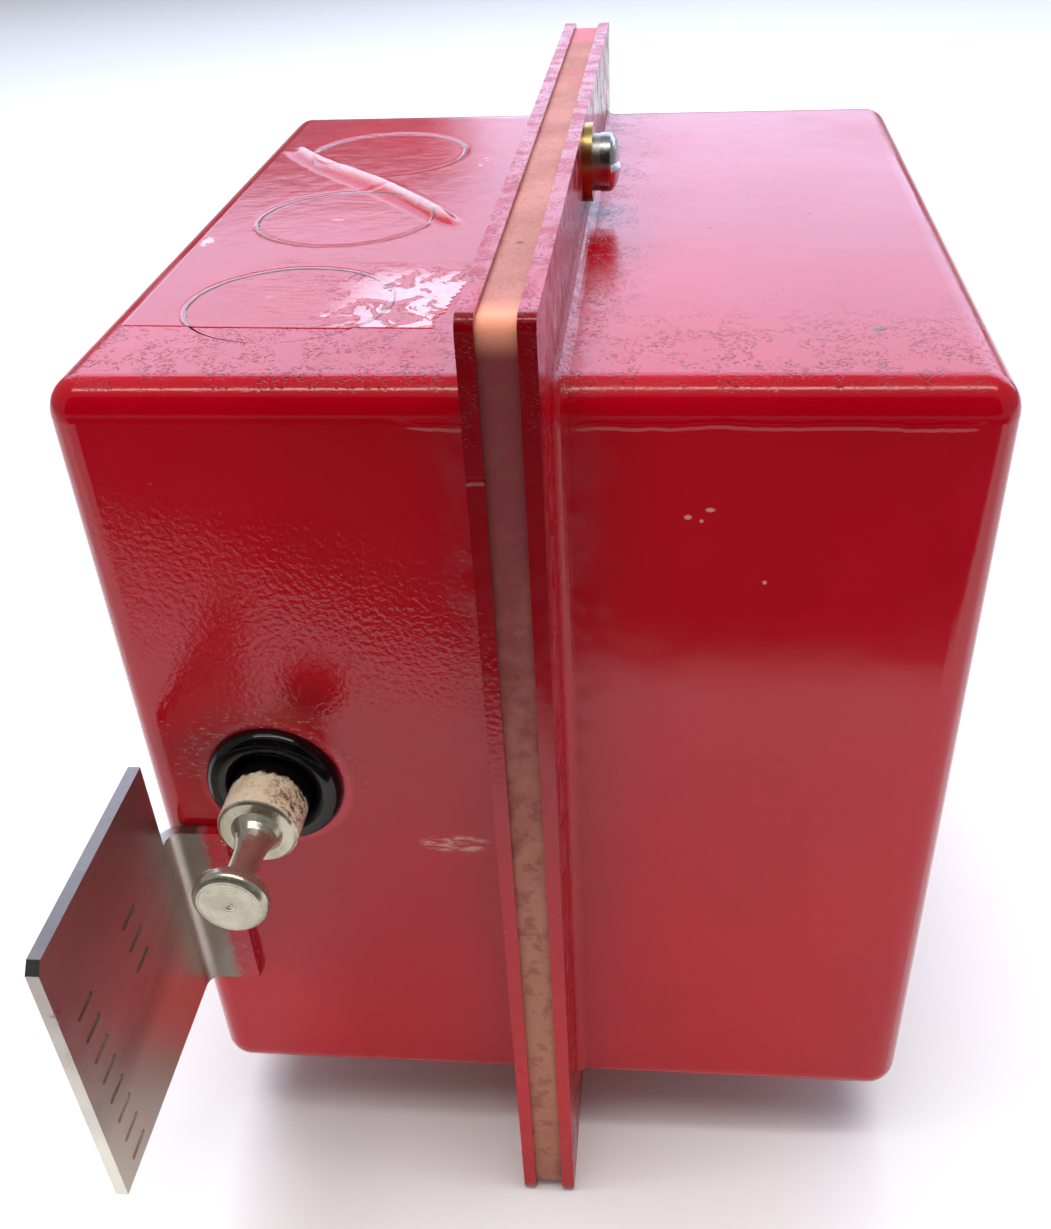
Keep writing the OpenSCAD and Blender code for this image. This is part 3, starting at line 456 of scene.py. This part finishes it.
def stem_metal():
    """Turned and plated stem: warmer where the collar is worn, black where it enters the grommet, from
    dirt and painted shade of the hole.
    """
    t = Tree("nickel", Metallic=1.0)
    turned = t.noise(2.6, 2, 0.5, stretch=(0.02, 1.0, 0.02))
    waves = t.math("SINE", t.times(from_axis(t), 15.0))
    rings = t.times(t.plus(waves, 1.0), 0.5)
    face = t.band(t.y, KNOB_FACE - 0.6, KNOB_FACE + 0.3, 0.25)
    wide = t.noise(0.45, 4, 0.6)
    colour = t.mix(t.ramp(wide, 0.35, 0.7), (0.58, 0.54, 0.42), (0.44, 0.41, 0.31))
    collar = t.band(t.y, COLLAR_END + 0.45, FRONT + 0.5, 0.3)
    colour = t.mix(t.times(collar, 0.9), colour, (0.84, 0.74, 0.52))
    warm = t.times(collar, t.ramp(t.noise(0.35, 4, 0.65, offset=2.0), 0.46, 0.66))
    colour = t.mix(t.times(warm, 0.6), colour, (0.50, 0.33, 0.16))
    crumbs = t.ramp(t.noise(1.4, 4, 0.75, offset=21.0), 0.50, 0.58)
    crust = t.times(collar, t.ramp(t.x, STEM_X - 0.2, STEM_X + 3.3), crumbs)
    colour = t.mix(t.times(crust, 0.85), colour, (0.07, 0.025, 0.018))
    dirt = t.times(t.ramp(t.noise(1.5, 4, 0.7, offset=6.0), 0.60, 0.72), 0.6)
    colour = t.mix(dirt, colour, (0.13, 0.09, 0.06))
    # painted shade of the grommet's hole, with dirt: near black where the stem enters the grommet
    wander = t.times(t.math("SUBTRACT", t.noise(1.1, 4, 0.7, offset=15.0), 0.5), 2.4)
    black = t.band(t.plus(t.y, wander), FRONT - 3.2, FRONT + 2.0, 0.6)
    flecks = t.ramp(t.noise(1.0, 4, 0.7, offset=11.0), 0.63, 0.70)
    residue = t.times(t.band(t.y, FRONT - 5.5, FRONT + 0.1, 1.0), flecks, 0.7)
    colour = t.mix(residue, colour, (0.62, 0.45, 0.33))
    colour = t.mix(black, colour, (0.004, 0.003, 0.003))
    t.set("Base Color", colour)
    worn = t.most(t.times(residue, 0.5), t.times(collar, 0.68))
    t.set("Metallic", t.math("SUBTRACT", 0.86, worn))
    t.set("Roughness", t.plus(0.15, t.times(wide, 0.14), t.times(dirt, 0.3), t.times(collar, 0.06)))
    t.bump(turned, 0.012)
    t.bump(t.times(rings, face), 0.012)
    t.bump(t.noise(0.9, 3, 0.6, offset=4.0), 0.02)
    return t.finish()


def black_rubber():
    """Glossy moulded rubber with dust and a few pale crumbs."""
    t = Tree("black_rubber", Specular_IOR_Level=0.42)
    wide = t.noise(0.3, 3, 0.6)
    dust = t.ramp(t.noise(3.2, 4, 0.75, offset=3.0), 0.66, 0.74)
    reach, pick = t.cells(1.1)
    specks = t.times(t.ramp(reach, 0.06, 0.14, 1.0, 0.0), t.ramp(pick, 0.80, 0.84))
    colour = t.mix(t.ramp(wide, 0.3, 0.7), (0.0015, 0.0015, 0.0018), (0.004, 0.0035, 0.0035))
    colour = t.mix(t.times(t.most(t.times(dust, 0.5), specks), 0.6), colour, (0.35, 0.24, 0.20))
    t.set("Base Color", colour)
    t.set("Roughness", t.plus(0.08, t.times(wide, 0.08), t.times(dust, 0.3)))
    t.bump(t.noise(0.8, 3, 0.5), 0.03)
    t.bump(specks, 0.03)
    return t.finish()


def moulded(name, dark, light):
    """Moulded phenolic with its filler showing as lighter flecks."""
    t = Tree(name, Specular_IOR_Level=0.5)
    wide = t.noise(0.1, 4, 0.6)
    fill = t.noise(2.2, 3, 0.7)
    colour = t.mix(t.ramp(wide, 0.3, 0.7), dark, light)
    fleck = tuple(2.2 * c for c in light)
    colour = t.mix(t.times(t.ramp(fill, 0.58, 0.7), 0.3), colour, fleck)
    t.set("Base Color", colour)
    t.set("Roughness", t.plus(0.24, t.times(fill, 0.2)))
    t.bump(fill, 0.02)
    t.bump(wide, 0.06)
    return t.finish()


def passivated():
    """Green passivated steel of the earthing screw."""
    t = Tree("green_earth", Metallic=0.6)
    wide = t.noise(0.9, 4, 0.6)
    t.set("Base Color", t.mix(t.ramp(wide, 0.35, 0.7), (0.02, 0.17, 0.05), (0.07, 0.26, 0.10)))
    t.set("Roughness", t.plus(0.25, t.times(wide, 0.2)))
    t.bump(t.noise(2.5, 3, 0.6), 0.015)
    return t.finish()


# name: tint, tint where dull, roughness, and what differs from ordinary plating
METALS = {
    "plated_screws": ((0.66, 0.64, 0.60), (0.46, 0.44, 0.41), 0.16, {"spread": 0.45}),
    "plated_steel": ((0.62, 0.61, 0.57), (0.50, 0.48, 0.43), 0.26, {"grain": (1.0, 0.1, 1.0)}),
    "brass_parts": ((0.74, 0.52, 0.20), (0.58, 0.40, 0.16), 0.20, {"tarnish": (0.26, 0.13, 0.05)}),
    "copper": ((0.76, 0.40, 0.24), (0.62, 0.30, 0.17), 0.18, {"tarnish": (0.25, 0.10, 0.06)}),
    "dark_steel": ((0.11, 0.11, 0.12), (0.07, 0.07, 0.075), 0.30, {"tarnish": (0.12, 0.08, 0.05)}),
}
LOOKS = {}
for slot, (tint, dull, rough, extra) in METALS.items():
    LOOKS[slot] = plated(slot, tint, dull, rough, **extra)
LOOKS["nickel"] = stem_metal()
LOOKS["plate_steel"] = indicator_metal()
LOOKS["gasket_rubber"] = gasket_rubber()
LOOKS["black_rubber"] = black_rubber()
LOOKS["phenolic"] = moulded("phenolic", (0.018, 0.012, 0.010), (0.035, 0.022, 0.016))
LOOKS["green_earth"] = passivated()
# the two shells have enamel of their own, and the slugs were painted with the base shell
ENAMEL = {
    "base_shell": enamel("red_enamel_base", base_peel, True),
    "cover_shell": enamel("red_enamel_cover", cover_peel, False),
}
ENAMEL["knockout_slugs"] = ENAMEL["base_shell"]


def dress(obj, material):
    """Gives an object one material."""
    obj.data.materials.clear()
    obj.data.materials.append(material)


for part in frame["record"]["subparts"]:
    name = part["node"]
    dress(nodes[name], ENAMEL.get(name) or LOOKS[part["material_slot"]])


# ------------------------------------------------------- clear film on the top

SLUG_X = 19.5
SLUG_MIDDLE = -1.0
SLUG_PITCH = 29.5
SLUG_R = 10.9
SLUGS = [(SLUG_X, SLUG_MIDDLE + step * SLUG_PITCH) for step in (-1, 0, 1)]

# the film's cut edge near the front passes through FILM_START and runs back by FILM_SLANT
FILM_START = (3.6, -36.7)
FILM_SLANT = 0.037
FILM_LEFT = 3.4
FILM_FROM = -38.2
FILM_TO = 48.6
FILM_COLUMNS = 90
FILM_ROWS = 210
# the raised fold, from end to end
FOLD = (Vector((4.6, 31.8)), Vector((33.2, -3.8)))


def unit(value):
    """Value held between 0 and 1."""
    return min(max(value, 0.0), 1.0)


def film_near(x):
    """The film's straight cut edge nearest the front."""
    return FILM_START[1] - FILM_SLANT * (x - FILM_START[0])


def film_right(y):
    """The film's torn edge beside the flange, with the teeth of a tape cutter up to y = -19.5."""
    run = unit((y + 37.9) / 18.9)
    teeth = abs((y * 0.83) % 1.0 - 0.5) * 1.05
    ragged = 0.8 * noise.noise(Vector((0.0, y * 0.35, 3.0)))
    torn = 35.6 + 2.6 * run + teeth + ragged
    straight = 40.6
    settle = unit((y + 19.5) / 2.0)
    return torn * (1 - settle) + straight * settle


def film_fold(x, y):
    """Height that the fold adds: a ridge that tapers off at both ends."""
    a, b = FOLD
    along = (b - a).normalized()
    rel = Vector((x, y)) - a
    s = rel.dot(along) / (b - a).length
    side = along.x * rel.y - along.y * rel.x + 0.5 * math.sin(s * 7.0)
    ends = unit((s + 0.02) / 0.12) * unit((1.03 - s) / 0.10)
    if ends == 0:
        return 0.0
    width = 1.5 + 0.7 * math.sin(math.pi * unit(s))
    reach = min(abs(side) / width, 1.0)
    return (1.25 + 0.2 * s) * ends * (1 - reach) ** 1.15


def film_height(x, y):
    """Height of the film over the shell's top: stuck down on the slugs, with one raised fold."""
    z = 0.06
    for cx, cy in SLUGS:
        inside = unit((SLUG_R + 0.75 - math.hypot(x - cx, y - cy)) / 1.3)
        z -= 0.09 * inside * inside * (3 - 2 * inside)
    z += film_fold(x, y)
    z += 0.010 * noise.noise(Vector((x * 0.3, y * 0.3, 0.0)))
    z += 0.008 * noise.noise(Vector((x * 0.5, y * 2.2, 5.0)))
    return max(z, -0.08)


def film():
    """The strip of clear adhesive film over the knockouts."""
    bm = bmesh.new()
    grid = []
    for j in range(FILM_ROWS + 1):
        line = []
        for i in range(FILM_COLUMNS + 1):
            y = FILM_FROM + (FILM_TO - FILM_FROM) * j / FILM_ROWS
            x = FILM_LEFT + (film_right(y) - FILM_LEFT) * i / FILM_COLUMNS
            # the rows nearest the front bend over to the slant of the cut edge
            y += (film_near(x) - FILM_FROM) * (1 - j / FILM_ROWS) ** 8
            line.append(bm.verts.new((x * MM, y * MM, (TOP + film_height(x, y)) * MM)))
        grid.append(line)
    for row, after in zip(grid, grid[1:]):
        for i in range(FILM_COLUMNS):
            face = bm.faces.new((row[i], row[i + 1], after[i + 1], after[i]))
            face.smooth = True
    mesh = bpy.data.meshes.new("clear_film")
    bm.to_mesh(mesh)
    bm.free()
    obj = bpy.data.objects.new("clear_film", mesh)
    bpy.context.scene.collection.objects.link(obj)
    return obj


def film_look():
    """Clear film: gloss over what lies under it, milky where the adhesive has let go and on the fold,
    with painted glare, painted highlights on the rings and painted shade along the cut edge.
    """
    t = Tree("clear_film", Roughness=0.2, Specular_IOR_Level=0.5)
    wide = t.noise(0.16, 4, 0.6)
    fine = t.noise(0.9, 4, 0.7, distortion=0.6)
    # milky where the adhesive has let go at the torn end, together with painted glare there
    torn_end = t.times(t.ramp(t.x, 21.0, 31.0), t.ramp(t.y, -17.0, -25.0))
    let_go = t.ramp(t.noise(0.22, 4, 0.62, distortion=1.2, offset=2.5), 0.46, 0.52)
    loose_and_glare = t.times(torn_end, let_go)
    bubbles = t.ramp(t.noise(0.34, 3, 0.6, offset=9.0), 0.69, 0.71)
    islands = t.times(bubbles, t.ramp(t.x, 8.0, 26.0), 0.8)
    # painted glare: a small milky patch near the left edge
    milky_glare_patch = t.times(
        t.spot((4.6, -10.0, TOP), 0.35, 0.5, stretch=(0.8, 0.35, 0.5)),
        t.ramp(t.noise(0.8, 3, 0.6, offset=3.0), 0.35, 0.55),
    )
    lifted = t.ramp(t.z, TOP + 0.25, TOP + 1.2)
    outlines = []
    for cx, cy in SLUGS:
        flat = t.vector("MULTIPLY", t.vector("SUBTRACT", t.pos, (cx, cy, 0)), (1, 1, 0))
        reach = t.vector("LENGTH", flat)
        wavy = t.plus(reach, t.times(t.noise(0.35, 3, 0.6, offset=cy), 0.7))
        outlines.append(t.band(wavy, SLUG_R + 0.30, SLUG_R + 0.55, 0.35))
    rings = t.most(*outlines)
    # painted highlight: the milky share along each knockout's ring lightens its groove to a pale line
    milky = t.most(
        t.times(rings, 0.22),
        t.times(loose_and_glare, 0.5),
        t.times(islands, 0.5),
        t.times(milky_glare_patch, 0.6),
        t.times(lifted, 0.5),
        0.06,
    )
    milky = t.math("MULTIPLY", milky, t.plus(0.55, t.times(fine, 0.9)), clamp=True)
    # painted shade: a dark red line along the cut edge, which crosses x = 0 at y = -36.57
    edge_y = t.plus(t.y, 36.57, t.times(t.x, FILM_SLANT))
    edge_shade = t.ramp(edge_y, 0.06, 0.20, 1.0, 0.0)
    haze = t.mix(wide, (0.88, 0.66, 0.76), (0.96, 0.80, 0.88))
    t.set("Base Color", t.mix(edge_shade, haze, (0.10, 0.005, 0.01)))
    t.bump(fine, 0.012)
    crinkle = t.spot((20.0, -28.0, TOP), 7.0, 8.0)
    t.bump(t.times(t.noise(0.5, 3, 0.6, stretch=(0.4, 2.0, 1.0)), crinkle), 0.05)
    # the film sags into the groove round each knockout
    t.bump(rings, -0.10)
    t.bump(loose_and_glare, 0.12)
    t.finish()

    tree = t.tree
    normal = t.bsdf.inputs["Normal"].links[0].from_socket
    clear = t.node("ShaderNodeBsdfTransparent", {"Color": (1.0, 0.985, 0.995, 1)})
    gloss_rough = t.plus(0.05, t.times(wide, 0.06))
    gloss = t.node("ShaderNodeBsdfGlossy", {"Roughness": gloss_rough, "Normal": normal})
    rim = t.node("ShaderNodeFresnel", {"IOR": 1.45, "Normal": normal})
    sheet = t.node("ShaderNodeMixShader", {0: rim.outputs[0]})
    tree.links.new(clear.outputs[0], sheet.inputs[1])
    tree.links.new(gloss.outputs[0], sheet.inputs[2])
    whole = t.node("ShaderNodeMixShader", {0: t.most(milky, t.times(edge_shade, 0.75))})
    tree.links.new(sheet.outputs[0], whole.inputs[1])
    tree.links.new(t.bsdf.outputs[0], whole.inputs[2])
    tree.links.new(whole.outputs[0], t.out.inputs["Surface"])
    return t.mat


clear_film = film()
dress(clear_film, film_look())
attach(clear_film, "enclosure")
clear_film.visible_shadow = False

# ---------------------------------------------------------------- camera, stage

# solved from the straight edges of the photographed shells, in metres
CAMERA_AT = (0.059784, -0.161658, 0.097941)
CAMERA_RIGHT = Vector((0.99577, 0.08391, -0.03747))
CAMERA_UP = Vector((-0.02087, 0.60358, 0.79703))
CAMERA_BACK = Vector((0.08949, -0.79287, 0.60278))

camera = bpy.data.objects.new("photo_camera", bpy.data.cameras.new("photo_camera"))
bpy.context.scene.collection.objects.link(camera)
turn = Matrix((CAMERA_RIGHT, CAMERA_UP, CAMERA_BACK)).transposed().to_4x4()
camera.matrix_world = Matrix.Translation(CAMERA_AT) @ turn
camera.data.sensor_fit = "AUTO"
camera.data.sensor_width = 36.0
camera.data.lens = 37.76
camera.data.shift_x = -0.0175
camera.data.shift_y = 0.0696
camera.data.clip_start = 0.005
camera.data.clip_end = 50.0
bpy.context.scene.camera = camera

FLOOR = cad_box[0].z
UPRIGHT = (90, 0, 0)


def plane(name, width, depth, centre, tilt=(0, 0, 0)):
    """A flat rectangle for the studio, facing +Z before it is tilted."""
    bm = bmesh.new()
    bmesh.ops.create_grid(bm, x_segments=1, y_segments=1, size=0.5)
    mesh = bpy.data.meshes.new(name)
    bm.to_mesh(mesh)
    bm.free()
    obj = bpy.data.objects.new(name, mesh)
    bpy.context.scene.collection.objects.link(obj)
    obj.scale = (width, depth, 1)
    obj.rotation_euler = [math.radians(a) for a in tilt]
    obj.location = centre
    return obj


def floor_look():
    """White paper, very slightly uneven."""
    t = Tree("studio_floor", Specular_IOR_Level=0.2)
    t.set("Base Color", t.mix(t.noise(0.004, 3, 0.5), (0.86, 0.86, 0.86), (0.90, 0.90, 0.90)))
    t.set("Roughness", t.plus(0.6, t.times(t.noise(0.05, 3, 0.6), 0.2)))
    return t.finish()


def bare(name):
    """An empty node material, its tree and its output."""
    mat = bpy.data.materials.new(name)
    mat.use_nodes = True
    mat.node_tree.nodes.clear()
    return mat, mat.node_tree, mat.node_tree.nodes.new("ShaderNodeOutputMaterial")


def own_place(tree):
    """Sockets with a card's own x and y, from -0.5 to 0.5 before it is scaled."""
    where = tree.nodes.new("ShaderNodeTexCoord")
    split = tree.nodes.new("ShaderNodeSeparateXYZ")
    tree.links.new(where.outputs["Object"], split.inputs[0])
    return split.outputs[0], split.outputs[1]


def smooth(tree, value, low, high, to_low=0.0, to_high=1.0):
    """Smooth step from to_low to to_high as value goes from low to high."""
    step = tree.nodes.new("ShaderNodeMapRange")
    step.interpolation_type = "SMOOTHSTEP"
    tree.links.new(value, step.inputs[0])
    for socket, number in zip(step.inputs[1:5], (low, high, to_low, to_high)):
        socket.default_value = number
    return step.outputs[0]


def card_look(name, colour, strength):
    """An emitting card, dim in its lower left corner."""
    mat, tree, out = bare(name)
    glow = tree.nodes.new("ShaderNodeEmission")
    glow.inputs["Color"].default_value = (*colour, 1)
    own_x, own_y = own_place(tree)
    across = smooth(tree, own_x, -0.16, -0.11, 1.0, 0.0)
    down = smooth(tree, own_y, -0.32, -0.25, 1.0, 0.0)
    corner = tree.nodes.new("ShaderNodeMath")
    corner.operation = "MULTIPLY"
    tree.links.new(across, corner.inputs[0])
    tree.links.new(down, corner.inputs[1])
    dim = smooth(tree, corner.outputs[0], 0.0, 1.0, strength, 0.03 * strength)
    tree.links.new(dim, glow.inputs["Strength"])
    tree.links.new(glow.outputs[0], out.inputs[0])
    return mat


def black_card(tree):
    """Matt black, for a card that only darkens what the object reflects."""
    black = tree.nodes.new("ShaderNodeBsdfDiffuse")
    black.inputs["Color"].default_value = (0.015, 0.01, 0.01, 1)
    return black.outputs[0]


def dark_look(name):
    """A black card."""
    mat, tree, out = bare(name)
    tree.links.new(black_card(tree), out.inputs[0])
    return mat


def fading_look(name, thin, whole_to, thin_from):
    """A black card, whole up to its own y = whole_to and down to the share thin beyond thin_from.

    Left of its own x = -0.019 the border between the two runs askew.
    """
    mat, tree, out = bare(name)
    black = black_card(tree)
    clear = tree.nodes.new("ShaderNodeBsdfTransparent")
    both = tree.nodes.new("ShaderNodeMixShader")
    own_x, own_y = own_place(tree)
    left = tree.nodes.new("ShaderNodeMath")
    left.operation = "SUBTRACT"
    left.use_clamp = True
    left.inputs[0].default_value = -0.019
    tree.links.new(own_x, left.inputs[1])
    askew = tree.nodes.new("ShaderNodeMath")
    askew.operation = "MULTIPLY_ADD"
    askew.inputs[1].default_value = 0.8
    tree.links.new(left.outputs[0], askew.inputs[0])
    tree.links.new(own_y, askew.inputs[2])
    share = smooth(tree, askew.outputs[0], whole_to, thin_from, 1.0, thin)
    tree.links.new(share, both.inputs[0])
    tree.links.new(clear.outputs[0], both.inputs[1])
    tree.links.new(black, both.inputs[2])
    tree.links.new(both.outputs[0], out.inputs[0])
    return mat


def unseen(obj, diffuse=True, shadow=True):
    """Hides a card from the camera, and if wanted from soft light and from shadows."""
    obj.visible_camera = False
    obj.visible_diffuse = diffuse
    obj.visible_shadow = shadow


floor = plane("studio_floor", 8, 8, (0, 0, FLOOR))
dress(floor, floor_look())

window = plane("studio_window", 2.4, 0.9, (0.20, 1.05, 0.60), UPRIGHT)
dress(window, card_look("window_glow", (0.68, 0.80, 1.12), 2.5))
unseen(window)

# dark cards on the camera's side keep the front's gloss deep, as a photographer's black card does
flag_low = plane("studio_flag_low", 1.6, 1.2, (0.04, FRONT * MM - 0.6, FLOOR + 0.0005))
dress(flag_low, fading_look("flag_low", thin=0.28, whole_to=0.400, thin_from=0.413))
unseen(flag_low, diffuse=False, shadow=False)
flag_high = plane("studio_flag_high", 2.6, 1.5, (0.04, -0.95, 0.86), UPRIGHT)
dress(flag_high, dark_look("flag_high"))
unseen(flag_high, shadow=False)


def softbox(name, power, size, where, aim, colour=(1, 1, 1)):
    """A rectangular lamp of size, in metres, that points from where to aim."""
    data = bpy.data.lights.new(name, "AREA")
    data.shape = "RECTANGLE"
    data.size, data.size_y = size
    data.energy = power
    data.color = colour
    obj = bpy.data.objects.new(name, data)
    bpy.context.scene.collection.objects.link(obj)
    obj.location = where
    obj.rotation_mode = "QUATERNION"
    obj.rotation_quaternion = (Vector(aim) - Vector(where)).to_track_quat("-Z", "Y")
    obj.visible_camera = False
    return obj


COOL = (1.0, 0.98, 1.0)
WARM = (1.0, 0.96, 0.93)
# the overhead lights the whole, and the strip alone gives the line of light on the rounded edges
overhead = softbox("overhead", 9.0, (0.7, 1.0), (0.0, 0.12, 0.75), (0.045, 0.03, 0), COOL)
overhead.visible_glossy = False
softbox("strip", 1.5, (0.9, 0.07), (0.05, -0.10, 0.70), (0.045, -0.05, 0.05))
fill = softbox("front_fill", 0.16, (0.6, 0.06), (0.045, -0.17, -0.03), (0.045, -0.05, -0.05), WARM)
fill.visible_glossy = False

world = bpy.data.worlds.new("studio")
bpy.context.scene.world = world
world.use_nodes = True
sky = world.node_tree.nodes["Background"]
sky.inputs["Color"].default_value = (0.95, 0.96, 1.0, 1)
sky.inputs["Strength"].default_value = 0.27

bpy.context.scene.view_settings.view_transform = "Standard"
